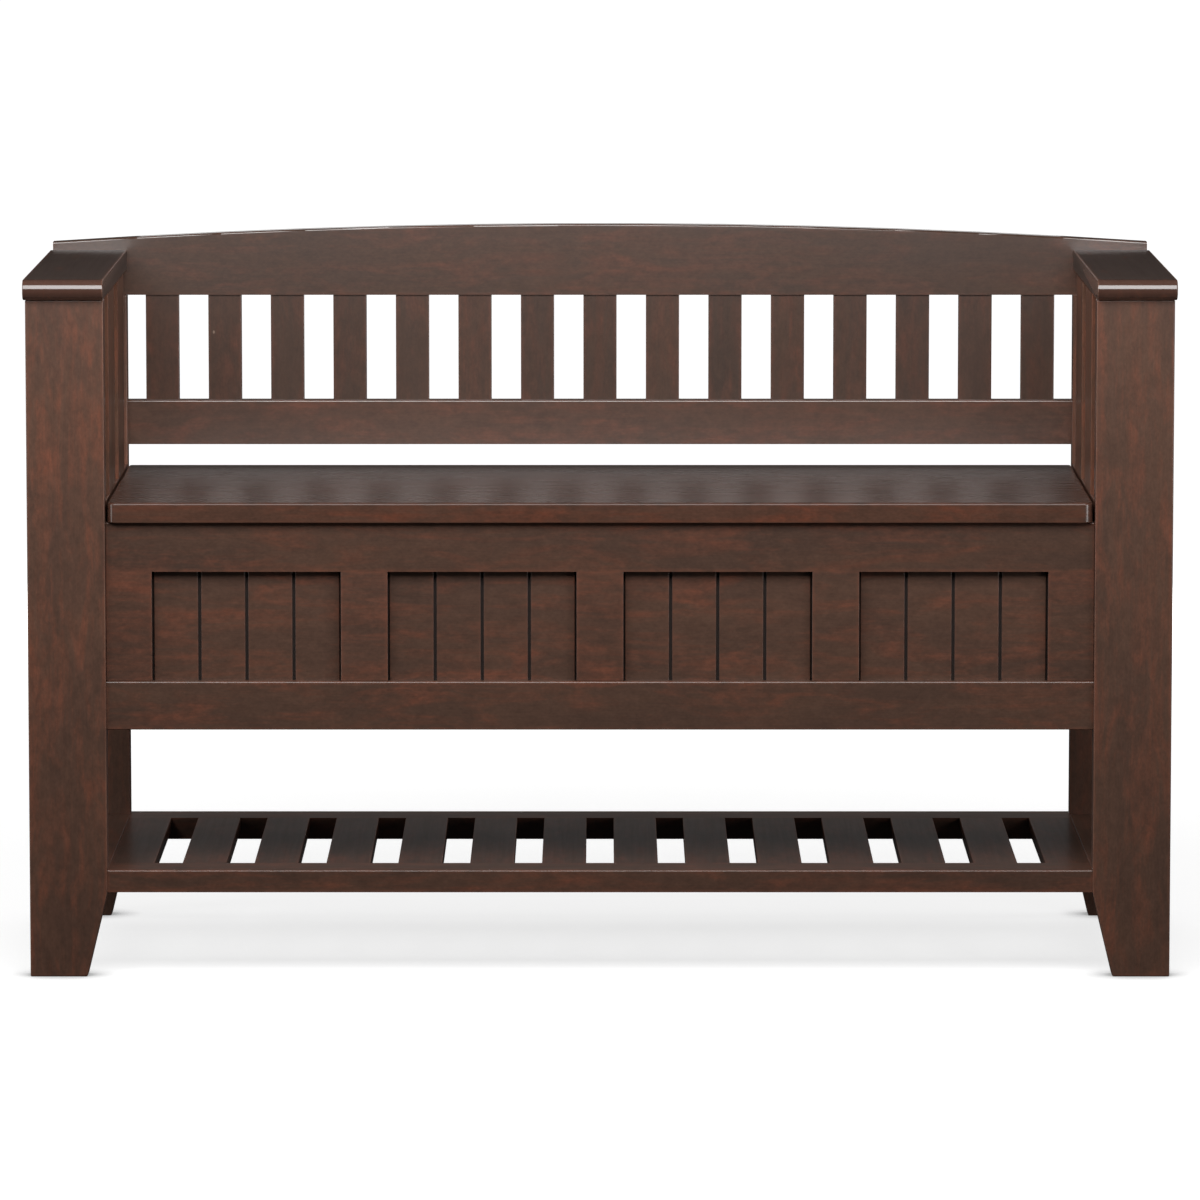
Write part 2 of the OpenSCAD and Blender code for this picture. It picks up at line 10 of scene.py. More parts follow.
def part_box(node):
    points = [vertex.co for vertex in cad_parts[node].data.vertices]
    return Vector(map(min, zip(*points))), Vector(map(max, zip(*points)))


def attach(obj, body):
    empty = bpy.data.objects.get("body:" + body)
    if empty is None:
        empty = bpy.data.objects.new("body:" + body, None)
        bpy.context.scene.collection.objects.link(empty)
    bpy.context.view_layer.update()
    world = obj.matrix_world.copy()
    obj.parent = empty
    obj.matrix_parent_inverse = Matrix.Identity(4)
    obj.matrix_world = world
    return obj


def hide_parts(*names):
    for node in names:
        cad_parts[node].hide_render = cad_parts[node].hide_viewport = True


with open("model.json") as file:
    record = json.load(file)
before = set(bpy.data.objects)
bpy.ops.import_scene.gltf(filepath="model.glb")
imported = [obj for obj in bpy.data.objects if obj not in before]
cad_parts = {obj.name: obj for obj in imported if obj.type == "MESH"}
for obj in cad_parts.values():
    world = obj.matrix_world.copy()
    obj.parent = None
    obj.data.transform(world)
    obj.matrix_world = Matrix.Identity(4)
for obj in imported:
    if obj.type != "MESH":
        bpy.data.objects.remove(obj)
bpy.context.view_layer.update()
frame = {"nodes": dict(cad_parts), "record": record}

# Entryway storage bench, dark stained wood. Metres, the front faces -Y.
# The solids give every board its shape. Here they get eased edges, grain,
# stain, hardware finish, screws and the studio round them.

xAxis, yAxis, zAxis = 0, 1, 2
sides = ("left", "right")

bodyOf = {}
for bodyName, members in frame["record"]["behaviour"]["bodies"].items():
    for member in members:
        bodyOf[member] = bodyName


def camel(words):
    first, *rest = words.split("_")
    return first + "".join(word.capitalize() for word in rest)


# Node helpers

def newMaterial(name):
    material = bpy.data.materials.new(name)
    material.use_nodes = True
    material.node_tree.nodes.clear()
    return material, material.node_tree


def addNode(tree, kind, **settings):
    made = tree.nodes.new("ShaderNode" + kind)
    for key, value in settings.items():
        setattr(made, key, value)
    return made


def feed(tree, node, **values):
    # Sets each socket to a value, or links it when given another socket.
    # _3 stands for the socket with that number.
    for key, value in values.items():
        socket = node.inputs[int(key[1:]) if key[0] == "_" else key.replace("_", " ")]
        if isinstance(value, bpy.types.NodeSocket):
            tree.links.new(value, socket)
        else:
            socket.default_value = value
    return node


def attributeOf(tree, name, output="Fac"):
    return addNode(tree, "Attribute", attribute_name=name).outputs[output]


def stretched(tree, vector, scale):
    return feed(tree, addNode(tree, "Mapping"), Vector=vector, Scale=scale).outputs[0]


def noiseAt(tree, vector, scale, detail, roughness=0.5, distortion=0.0):
    made = feed(tree, addNode(tree, "TexNoise"), Vector=stretched(tree, vector, scale),
                Scale=1.0, Detail=detail, Roughness=roughness, Distortion=distortion)
    return made.outputs[0]


def remap(tree, value, low, high, toLow=0.0, toHigh=1.0):
    made = addNode(tree, "MapRange")
    return feed(tree, made, _0=value, _1=low, _2=high, _3=toLow, _4=toHigh).outputs[0]


def mixColor(tree, amount, first, second, blend="MIX"):
    made = addNode(tree, "Mix", data_type="RGBA", blend_type=blend)
    return feed(tree, made, _0=amount, _6=first, _7=second).outputs[2]


def calc(tree, operation, first, second):
    return feed(tree, addNode(tree, "Math", operation=operation), _0=first, _1=second).outputs[0]


def product(tree, first, *others):
    for other in others:
        first = calc(tree, "MULTIPLY", first, other)
    return first


def grey(tree, value):
    made = addNode(tree, "CombineColor")
    return feed(tree, made, _0=value, _1=value, _2=value).outputs[0]


def shaded(tree, colour, factor):
    return mixColor(tree, 1.0, colour, grey(tree, factor), "MULTIPLY")


def bumped(tree, height, strength, distance):
    made = addNode(tree, "Bump")
    return feed(tree, made, Strength=strength, Distance=distance, Height=height).outputs[0]


def show(tree, **values):
    shader = feed(tree, addNode(tree, "BsdfPrincipled"), **values)
    feed(tree, addNode(tree, "OutputMaterial"), Surface=shader.outputs[0])


# Stained wood. Every board carries its own grain coordinates, so the figure
# runs along each board and shows end grain where the board is cut.

darkStain = {
    "brown": (0.078, 0.0410, 0.0276, 1),
    "umber": (0.061, 0.0330, 0.0230, 1),
    "red": (0.122, 0.0445, 0.0265, 1),
    # paler edges: partly wear, partly a painted highlight on the eased edges
    "worn": (0.165, 0.090, 0.062, 1),
    "speck": (0.28, 0.20, 0.15, 1),
    # near black, painted shade in the panel's grooves
    "grime": (0.012, 0.006, 0.004, 1),
    "noises": {
        # scale along and across the grain, detail, roughness and distortion
        "cloud": ((5, 15, 15), 5, 0.62, 0.5),
        "redCloud": ((9, 40, 40), 6, 0.66, 0.9),
        "feather": ((7, 110, 110), 5, 0.6, 0.4),
        "mottle": ((60, 110, 110), 4, 0.6, 0.3),
        "speckle": ((240, 420, 420), 2),
        "streak": ((6, 210, 210), 4, 0.6),
        "fibre": ((40, 1300, 1300), 2),
    },
    "figure": {
        # the range of each noise and how far it darkens and lightens the wood
        "mottle": (0.3, 0.7, 0.88, 1.10),
        "streak": (0.3, 0.7, 0.94, 1.05),
        "speckle": (0.3, 0.7, 0.90, 1.10),
        "fibre": (0.25, 0.75, 0.93, 1.05),
    },
    "brownReach": (0.36, 0.62),             # umber turns to brown over this part of the cloud
    "redReach": (0.455, 0.70),              # the part of the red cloud that shows
    "redFeather": (0.3, 0.7, -0.075, 0.075),
    "redMottle": (0.35, 0.6, 0.45, 1.0),
    "cutEndShade": 0.7,                     # cut ends are this dark beside the faces
    "rimWidth": 0.004,                      # how far the edges' wear reaches into the faces
    "rimMottle": (0.35, 0.62, 0.08, 0.62),
    "edgeCloud": (0.40, 0.66, 0.10, 0.55),
    "fleckScale": (38, 60, 60),
    "fleckFree": 0.985,                     # share of the spots that have no pale fleck
    "fleckFade": (0.05, 0.09, 0.6, 0.0),    # how far it reaches and how strong it is
    "roughness": 0.33,
    "roughnessSwing": (0.3, 0.7, 0.02),     # range of a noise and what it adds or takes
    "grimeRoughens": 0.5,
    "grimeCovers": 0.6,                     # where the painted groove shade reaches this much, the coat is gone
    "ior": 1.45,
    "coat": 0.38,
    "coatRoughness": 0.20,
    "coatIor": 1.5,
    "polishSmooths": 0.0,                   # what polish takes off the roughness
    "polishThins": 0.0,                     # how much red it lets through, on the armrests' noses also as painted light
    "polishDarkens": 0.0,                   # and what it takes off the colour, as painted shade
    "streakHeight": 0.6,
    "fibreHeight": 0.4,
    "bumpStrength": 0.3,
    "bump": 0.0003,
}

# The back has more varnish and the slats under the arms have none. The seat is darker, its top
# under a thick coat darker still as painted shade, and it is shinier on its rounded corners. The
# armrests are dull but for their noses, which hands have polished. Their colour is darkened and
# greyed as painted shade on their tops; red let through on the noses is painted light there.
backStain = dict(darkStain, brown=(0.064, 0.0335, 0.0220, 1), umber=(0.053, 0.0285, 0.0192, 1),
                 red=(0.095, 0.0365, 0.0222, 1), coat=1.0, coatIor=1.8)
dullStain = dict(darkStain, ior=1.18, coat=0.0)
seatStain = dict(darkStain, brown=(0.060, 0.0305, 0.0208, 1), umber=(0.049, 0.0262, 0.0183, 1),
                 red=(0.085, 0.0300, 0.0178, 1), roughness=0.34, ior=1.16, coat=0.0,
                 coatRoughness=0.25, polishDarkens=0.52, bump=0.00003)
cornerStain = dict(seatStain, coat=1.0, coatRoughness=0.21, coatIor=1.75)
armStain = dict(darkStain, brown=(0.040, 0.0262, 0.0215, 1), umber=(0.037, 0.0245, 0.0202, 1),
                redReach=(0.58, 0.85), roughness=0.40, coat=0.0, coatRoughness=0.10,
                coatIor=1.51, polishSmooths=0.26, polishThins=0.25, bump=0.00003)


def rimDistance(tree):
    # How far a point lies from its board's nearest edge. The smallest of the
    # distances to the board's three sides is nought on the surface, so the
    # next one counts.
    middle = attributeOf(tree, "fromMiddle", "Vector")
    half = attributeOf(tree, "halfSize", "Vector")
    reach = feed(tree, addNode(tree, "VectorMath", operation="ABSOLUTE"), _0=middle)
    left = feed(tree, addNode(tree, "VectorMath", operation="SUBTRACT"), _0=half,
                _1=reach.outputs[0])
    x, y, z = feed(tree, addNode(tree, "SeparateXYZ"), _0=left.outputs[0]).outputs
    lesser = calc(tree, "MINIMUM", x, y)
    greater = calc(tree, "MAXIMUM", x, y)
    return calc(tree, "MAXIMUM", lesser, calc(tree, "MINIMUM", greater, z))


def stainColour(tree, look, grain, noises, grime, polish):
    colour = mixColor(tree, remap(tree, noises["cloud"], *look["brownReach"]),
                      look["umber"], look["brown"])
    feather = remap(tree, noises["feather"], *look["redFeather"])
    warm = remap(tree, calc(tree, "ADD", noises["redCloud"], feather), *look["redReach"])
    warm = calc(tree, "ADD", warm, attributeOf(tree, "warmth"))
    mottle = remap(tree, noises["mottle"], *look["redMottle"])
    colour = mixColor(tree, product(tree, warm, mottle), colour, look["red"])

    figure = [remap(tree, noises[name], *reach) for name, reach in look["figure"].items()]
    # Each board's own tone, with painted light and shade set per board
    lighter = calc(tree, "ADD", 1.0, attributeOf(tree, "tone"))
    cutEnd = remap(tree, attributeOf(tree, "cutEnd"), 0, 1, 1.0, look["cutEndShade"])
    # Painted shade: the seat's polished top is darkened
    darker = remap(tree, polish, 0, 1, 1.0, 1 - look["polishDarkens"])
    colour = shaded(tree, colour, product(tree, *figure, lighter, cutEnd, darker))

    # Red shows through where hands and cloths thinned the stain, most at the edges.
    # On the armrests' polished noses it is also painted light, against the painted shade of the
    # rest.
    rim = remap(tree, rimDistance(tree), 0.0, look["rimWidth"], 1.0, 0.0)
    thin = product(tree, rim, remap(tree, noises["mottle"], *look["rimMottle"]))
    thin = calc(tree, "MAXIMUM", thin, product(tree, polish, look["polishThins"]))
    colour = mixColor(tree, thin, colour, look["red"])
    # Paler eased edges, partly wear and partly a painted highlight
    rubbed = product(tree, attributeOf(tree, "edge"),
                     remap(tree, noises["cloud"], *look["edgeCloud"]))
    colour = mixColor(tree, rubbed, colour, look["worn"])

    spots = feed(tree, addNode(tree, "TexVoronoi"), Scale=1.0,
                 Vector=stretched(tree, grain, look["fleckScale"]))
    lot = feed(tree, addNode(tree, "SeparateColor"), _0=spots.outputs["Color"]).outputs[0]
    fleck = product(tree, calc(tree, "GREATER_THAN", lot, look["fleckFree"]),
                    remap(tree, spots.outputs["Distance"], *look["fleckFade"]))
    colour = mixColor(tree, fleck, colour, look["speck"])
    # Painted shade: the grooves go near black
    return mixColor(tree, grime, colour, look["grime"])


def stainRoughness(tree, look, noises, grime, polish):
    low, high, swing = look["roughnessSwing"]
    roughness = calc(tree, "ADD", remap(tree, noises["streak"], low, high, swing, -swing),
                     remap(tree, noises["cloud"], low, high, look["roughness"] + swing,
                           look["roughness"] - swing))
    roughness = calc(tree, "ADD", roughness, product(tree, grime, look["grimeRoughens"]))
    return calc(tree, "SUBTRACT", roughness, product(tree, polish, look["polishSmooths"]))


def stainedWood(name, look, coatVaries=False):
    material, tree = newMaterial(name)
    grain = attributeOf(tree, "grain", "Vector")
    grime = attributeOf(tree, "grime")
    polish = attributeOf(tree, "polish")
    noises = {key: noiseAt(tree, grain, *kind) for key, kind in look["noises"].items()}
    coat = look["coat"]
    if coatVaries:
        bare = remap(tree, grime, 0, look["grimeCovers"], coat, 0.0)
        coat = calc(tree, "MAXIMUM", bare, polish)
    height = calc(tree, "ADD", product(tree, noises["streak"], look["streakHeight"]),
                  product(tree, noises["fibre"], look["fibreHeight"]))
    show(tree, Base_Color=stainColour(tree, look, grain, noises, grime, polish),
         Roughness=stainRoughness(tree, look, noises, grime, polish), IOR=look["ior"],
         Coat_Weight=coat, Coat_Roughness=look["coatRoughness"], Coat_IOR=look["coatIor"],
         Normal=bumped(tree, height, look["bumpStrength"], look["bump"]))
    return material


stainFinish = stainedWood("darkStain", darkStain)
dullFinish = stainedWood("dullStain", dullStain)
backFinish = stainedWood("backStain", backStain)
panelFinish = stainedWood("panelStain", darkStain, True)
seatFinish = stainedWood("seatStain", seatStain, True)
cornerFinish = stainedWood("cornerStain", cornerStain)
armFinish = stainedWood("armStain", armStain, True)

plainWoodLook = {
    "pale": (0.46, 0.30, 0.17, 1),
    "dark": (0.30, 0.175, 0.09, 1),
    "streak": ((3, 60, 60), 6, 0.6, 0.3),
    "fibre": ((40, 900, 900), 2),
    "streakReach": (0.3, 0.7),
    "fibreFigure": (0.3, 0.7, 0.9, 1.08),
    "roughness": (0.56, 0.70),              # of the pale and of the dark streaks
    "bumpStrength": 0.3,
    "bump": 0.0004,
}


def plainWood(name, look):
    material, tree = newMaterial(name)
    grain = attributeOf(tree, "grain", "Vector")
    streak = noiseAt(tree, grain, *look["streak"])
    fibre = noiseAt(tree, grain, *look["fibre"])
    colour = mixColor(tree, remap(tree, streak, *look["streakReach"]), look["pale"], look["dark"])
    lighter = calc(tree, "ADD", 1.0, attributeOf(tree, "tone"))
    figure = product(tree, remap(tree, fibre, *look["fibreFigure"]), lighter)
    show(tree, Base_Color=shaded(tree, colour, figure),
         Roughness=remap(tree, streak, *look["streakReach"], *look["roughness"]),
         Normal=bumped(tree, fibre, look["bumpStrength"], look["bump"]))
    return material


plainFinish = plainWood("barePlywood", plainWoodLook)

steelLook = {
    "bright": (0.56, 0.54, 0.50, 1),
    "dull": (0.36, 0.345, 0.32, 1),
    "rubbed": (0.75, 0.73, 0.69, 1),
    "edgeRub": 0.5,
    "smudge": ((90, 90, 90), 4, 0.6),
    "brushed": ((60, 2200, 2200), 2),
    "dullReach": (0.35, 0.65),
    "smudgeRoughness": (0.3, 0.7, 0.28, 0.44),
    "brushRoughness": (0.3, 0.7, -0.05, 0.07),
    "bumpStrength": 0.15,
    "bump": 0.0002,
    "ease": 0.0003,                         # radius of the plates' and arms' edges
}


def platedSteel(name, look):
    material, tree = newMaterial(name)
    place = addNode(tree, "TexCoord").outputs["Object"]
    smudge = noiseAt(tree, place, *look["smudge"])
    brushed = noiseAt(tree, place, *look["brushed"])
    colour = mixColor(tree, remap(tree, smudge, *look["dullReach"]), look["bright"], look["dull"])
    rubbed = product(tree, attributeOf(tree, "edge"), look["edgeRub"])
    roughness = calc(tree, "ADD", remap(tree, brushed, *look["brushRoughness"]),
                     remap(tree, smudge, *look["smudgeRoughness"]))
    show(tree, Base_Color=mixColor(tree, rubbed, colour, look["rubbed"]), Metallic=1.0,
         Roughness=roughness, Normal=bumped(tree, brushed, look["bumpStrength"], look["bump"]))
    return material


steelFinish = platedSteel("platedSteel", steelLook)
print("finishes ready")


# Boards. Each takes its solid's mesh, welded and cleaned, gets its edges eased
# and carries the attributes that the stain reads.

boardLook = {
    "ease": 0.0003,                         # radius of an edge where boards meet
    "easeSegments": 3,
    "sharpAngle": 32,                       # degrees, flatter edges belong to curved faces
    "flatAngle": 0.15,                      # faces closer than this become one
    "flatWeight": 90,
    "weld": 1e-6,
    "slack": 1e-4,                          # how far a face may lie out of its board
    "seamSlack": 1e-5,
    "endFacing": 0.9,                       # faces turned this far along the grain are cut ends
    "pith": ((0, 40), (-0.05, 0.05), (0.05, 0.2)),  # how far off along, across and deep
    "toneSpread": 0.07,                     # how far boards differ in darkness
    "warmthSpread": (-0.048, 0.16),         # and in redness
}


def sawn(bm, boards):
    # Saws one solid into its boards, each a closed piece, so their joints show
    pieces = bmesh.new()
    for low, high in boards:
        board = bm.copy()
        for axis in range(3):
            for at, way in ((low[axis], -1), (high[axis], 1)):
                normal = Vector([way if k == axis else 0 for k in range(3)])
                cut = bmesh.ops.bisect_plane(
                    board, geom=board.verts[:] + board.edges[:] + board.faces[:],
                    dist=boardLook["weld"], plane_co=normal * at * way, plane_no=normal,
                    clear_outer=True)
                rim = [e for e in cut["geom_cut"]
                       if isinstance(e, bmesh.types.BMEdge) and e.is_boundary]
                bmesh.ops.holes_fill(board, edges=rim, sides=0)
        part = bpy.data.meshes.new("sawnBoard")
        board.to_mesh(part)
        board.free()
        pieces.from_mesh(part)
        bpy.data.meshes.remove(part)
    bm.free()
    return pieces


def onJoint(edge, boards):
    # True for an edge in the seam of boards that meet end to side
    if not boards:
        return False
    seam = boards[0][0][zAxis]
    return all(abs(v.co.z - seam) < boardLook["seamSlack"] for v in edge.verts)


def eased(mesh, ease, keepEdge, boards):
    # Welds the mesh, merges flat neighbours and rounds its sharp edges. Joints
    # and the edges that keepEdge turns down are eased by a hair only.
    bm = bmesh.new()
    bm.from_mesh(mesh)
    bmesh.ops.remove_doubles(bm, verts=bm.verts, dist=boardLook["weld"])
    if boards:
        bm = sawn(bm, boards)
    bmesh.ops.dissolve_limit(bm, angle_limit=radians(boardLook["flatAngle"]),
                             verts=bm.verts, edges=bm.edges)
    sharpAngle = radians(boardLook["sharpAngle"])
    free, tight = [], []
    for e in bm.edges:
        if e.is_manifold and e.calc_face_angle_signed() > sharpAngle:
            held = onJoint(e, boards) or not keepEdge(e)
            (tight if held else free).append(e)
    rounded = []
    for chosen, radius in ((free, ease), (tight, boardLook["ease"])):
        chosen = [e for e in chosen if e.is_valid]
        if chosen:
            made = bmesh.ops.bevel(bm, geom=chosen, offset=radius, offset_type="OFFSET",
                                   profile=0.5, segments=boardLook["easeSegments"],
                                   affect="EDGES", clamp_overlap=True)
            rounded = [face for face in rounded if face.is_valid] + made["faces"]
    flat = set(bm.faces) - set(rounded)
    edgeLayer = bm.verts.layers.float.new("edge")
    for face in rounded:
        for v in face.verts:
            if not any(f in flat for f in v.link_faces):
                v[edgeLayer] = 1.0
    for face in bm.faces:
        face.smooth = True
    for e in bm.edges:
        e.smooth = e.calc_face_angle(0) < sharpAngle
    bm.to_mesh(mesh)
    bm.free()


def boxOf(mesh):
    places = [v.co for v in mesh.vertices]
    return (tuple(min(p[k] for p in places) for k in range(3)),
            tuple(max(p[k] for p in places) for k in range(3)))


def inBox(point, box):
    slack = boardLook["slack"]
    return all(box[0][k] - slack <= point[k] <= box[1][k] + slack for k in range(3))


def layRims(mesh, boxes):
    # Where each corner lies in its board, for the wear along the board's edges
    whole = boxOf(mesh)
    fromMiddle = mesh.attributes.new("fromMiddle", "FLOAT_VECTOR", "CORNER")
    halfSize = mesh.attributes.new("halfSize", "FLOAT_VECTOR", "FACE")
    for face in mesh.polygons:
        low, high = next((box for box in boxes if inBox(face.center, box)), whole)
        middle = (Vector(low) + Vector(high)) / 2
        halfSize.data[face.index].vector = (Vector(high) - Vector(low)) / 2
        for corner in face.loop_indices:
            v = mesh.vertices[mesh.loops[corner].vertex_index]
            fromMiddle.data[corner].vector = v.co - middle


def layGrain(mesh, axis, seed, boards, lighter):
    # axis is the long direction, and the dice put each board's pith somewhere of
    # its own. boards gives boxes where one solid is glued up from several boards.
    # lighter is one value, or a list of one for each board and one for the rest. It lightens or
    # darkens boards as painted light and shade.
    across, depth = [i for i in range(3) if i != axis]
    if not isinstance(lighter, list):
        lighter = [lighter] * (len(boards) + 1)
    lots = []
    for i, more in enumerate(lighter):
        dice = random.Random(f"{seed}{i}")
        lots.append({
            "shift": [dice.uniform(*reach) for reach in boardLook["pith"]],
            "tone": dice.uniform(-1, 1) * boardLook["toneSpread"] + more,
            "warmth": dice.uniform(*boardLook["warmthSpread"]),
        })
    grain = mesh.attributes.new("grain", "FLOAT_VECTOR", "CORNER")
    tone, warmth, cutEnd = [mesh.attributes.new(name, "FLOAT", "FACE")
                            for name in ("tone", "warmth", "cutEnd")]
    for face in mesh.polygons:
        lot = lots[-1]
        for i, box in enumerate(boards):
            if inBox(face.center, box):
                lot = lots[i]
        shift = lot["shift"]
        for corner in face.loop_indices:
            place = mesh.vertices[mesh.loops[corner].vertex_index].co
            grain.data[corner].vector = (place[axis] + shift[0], place[across] + shift[1],
                                         place[depth] + shift[2])
        tone.data[face.index].value = lot["tone"]
        warmth.data[face.index].value = lot["warmth"]
        if abs(face.normal[axis]) > boardLook["endFacing"]:
            cutEnd.data[face.index].value = 1.0


def keepFlat(piece):
    # Large faces keep their own normals, so only the eased edges shade round
    modifier = piece.modifiers.new("flatFaces", "WEIGHTED_NORMAL")
    modifier.keep_sharp = True
    modifier.weight = boardLook["flatWeight"]


def dress(node, finish, axis, ease, keepEdge=lambda edge: True, boards=(), lighter=0.0):
    mesh = frame["nodes"][node].data.copy()
    mesh.name = camel(node)
    mesh.materials.clear()
    mesh.materials.append(finish)
    eased(mesh, ease, keepEdge, boards)
    if axis is not None:
        layGrain(mesh, axis, node, boards, lighter)
        layRims(mesh, boards)
    piece = bpy.data.objects.new(camel(node), mesh)
    bpy.context.scene.collection.objects.link(piece)
    keepFlat(piece)
    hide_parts(node)
    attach(piece, bodyOf[node])
    return piece


def lengthwise(axis):
    # Accepts the edges that run along a board, so butted ends stay tight
    def accept(edge):
        run = edge.verts[1].co - edge.verts[0].co
        return abs(run[axis]) > run.length / 2
    return accept


armrestLook = {
    "ease": 0.0014,
    "noseDepth": 0.011,                     # the rounded nose, polished by hands
    "fade": 0.002,
}


def dressArmrest(side):
    mesh = dress(f"armrest_{side}", armFinish, yAxis, armrestLook["ease"]).data
    front = boxOf(mesh)[0][yAxis]
    # The polished nose lets red through: painted light against the armrest's painted shade
    polish = mesh.attributes.new("polish", "FLOAT", "POINT")
    for v in mesh.vertices:
        inside = front + armrestLook["noseDepth"] - v.co.y
        polish.data[v.index].value = min(1, max(0, inside / armrestLook["fade"]))


sideLook = {
    "legEase": 0.0016,
    # the back legs are lightened, painted light against the shade under the bench
    "backLegLighter": 0.35,
    "ease": 0.001,
    # the slats under the arms are lightened, painted light on their inner faces
    "slatsLighter": 0.3,
}

for side in sides:
    dress(f"front_leg_{side}", stainFinish, zAxis, sideLook["legEase"])
    dress(f"back_leg_{side}", stainFinish, zAxis, sideLook["legEase"],
          lighter=sideLook["backLegLighter"])
    dressArmrest(side)
    dress(f"arm_slats_{side}", dullFinish, zAxis, sideLook["ease"], lengthwise(zAxis),
          lighter=sideLook["slatsLighter"])
    for board in ("side_panel", "side_stretcher"):
        dress(f"{board}_{side}", stainFinish, yAxis, sideLook["ease"], lengthwise(yAxis))
print("legs, arms and sides ready")

backLook = {
    "railEase": 0.0014,
    # the lower rail is lightened, painted light in place of light the seat bounces onto it
    "lowerRailLighter": 0.15,
    "slatEase": 0.001,
    # the slats are darkened, painted shade in their recess
    "slatsLighter": -0.08,
}
shelfLook = {
    "railEase": 0.0014,
    # the front rail is darkened, painted shade under the box
    "frontRailLighter": -0.15,
    "slatEase": 0.0012,
    # the slats are darkened, painted shade under the box
    "slatsLighter": -0.25,
}

dress("back_top_rail", backFinish, xAxis, backLook["railEase"])
dress("back_lower_rail", backFinish, xAxis, backLook["railEase"], lengthwise(xAxis),
      lighter=backLook["lowerRailLighter"])
for node in frame["nodes"]:
    if node.startswith("back_slat_"):
        dress(node, backFinish, zAxis, backLook["slatEase"], lengthwise(zAxis),
              lighter=backLook["slatsLighter"])
    if node.startswith("shelf_slat_"):
        dress(node, stainFinish, yAxis, shelfLook["slatEase"], lengthwise(yAxis),
              lighter=shelfLook["slatsLighter"])
print("back and shelf slats ready")

apronLook = {
    "ease": 0.0009,
    "topRailHeight": 0.0525,
    "windows": 4,
    "stile": 0.050,
    "endStile": 0.049,
    # the top rail is darkened, painted shade under the lid's overhang
    "topRailLighter": -0.22,
    # the stiles are darkened, painted shade on the box's front
    "stilesLighter": -0.13,
    "bottomRailEase": 0.0011,
    # the bottom rail is darkened, painted shade low on the box's front
    "bottomRailLighter": -0.07,
}


def apronBoards():
    # The top rail, and the stiles that hang from it between the windows
    low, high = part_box("apron_frame")
    count, stile, endStile = apronLook["windows"], apronLook["stile"], apronLook["endStile"]
    window = (high.x - low.x - 2 * endStile - (count - 1) * stile) / count
    railBottom = high.z - apronLook["topRailHeight"]
    boards = [((low.x, low.y, railBottom), tuple(high))]
    left = low.x
    for i in range(count + 1):
        width = endStile if i in (0, count) else stile
        boards.append(((left, low.y, low.z), (left + width, high.y, railBottom)))
        left += width + window
    return boards


panelLook = {
    "ease": 0.0004,
    # the panel is darkened, painted shade on the box's front
    "lighter": -0.06,
    "shallow": 0.0002,                      # painted shade darkens the grooves from this depth on
    "full": 0.0015,
    "deepest": 0.0035,
    "halfGrime": 0.5,
    "plank": 0.02,                          # planks are wider than this, grooves are not
}


def dressPanel():
    # The grooved panel, with painted shade making its grooves dark between the planks
    mesh = dress("bead_panel", panelFinish, xAxis, panelLook["ease"], lengthwise(zAxis),
                 lighter=panelLook["lighter"]).data
    low, high = boxOf(mesh)
    grime = mesh.attributes.new("grime", "FLOAT", "POINT")
    walls = set()
    for v in mesh.vertices:
        depth = v.co.y - low[yAxis]
        if panelLook["shallow"] < depth < panelLook["deepest"]:
            shallow = depth < panelLook["full"]
            grime.data[v.index].value = panelLook["halfGrime"] if shallow else 1.0
            walls.add(round(v.co.x, 4))
    walls = sorted(walls)
    steps = [i for i in range(1, len(walls)) if walls[i] - walls[i - 1] > panelLook["plank"]]
    starts = [walls[i] for i in [0] + steps]
    ends = [walls[i - 1] for i in steps + [len(walls)]]
    middles = [(a + b) / 2 for a, b in zip(starts, ends)]
    cuts = [low[xAxis]] + middles + [high[xAxis]]
    planks = [((a, *low[1:]), (b, *high[1:])) for a, b in zip(cuts, cuts[1:])]
    for name in ("fromMiddle", "halfSize"):
        mesh.attributes.remove(mesh.attributes[name])
    layRims(mesh, planks)
    print("panel of", len(planks), "planks")


lidLook = {
    "ease": 0.0015,
    "polished": 0.7,                        # faces that look up this far have the thick coat
    "rising": 0.1,                          # from here on it thins out over the edge
    "edgePolish": 0.42,
    "level": 0.3,                           # faces of the top and the bottom, and those
    "upright": 0.999,                       # of the front and back, are duller than the corners
}


def dressLid():
    mesh = dress("lid_board", seatFinish, xAxis, lidLook["ease"]).data
    mesh.materials.append(cornerFinish)
    for face in mesh.polygons:
        level = abs(face.normal.z) > lidLook["level"]
        upright = abs(face.normal.y) > lidLook["upright"]
        face.material_index = 0 if level or upright else 1
    # The polish marks the thick coat on the top and, less, on its edges, where the stain is
    # darkened as painted shade
    polish = mesh.attributes.new("polish", "FLOAT", "FACE")
    for face in mesh.polygons:
        if face.normal.z > lidLook["polished"]:
            polish.data[face.index].value = 1.0
        elif face.normal.z > lidLook["rising"]:
            polish.data[face.index].value = lidLook["edgePolish"]


boxLook = {
    "backEase": 0.001,
    "floorEase": 0.0004,
    "cleatEase": 0.0008,
}

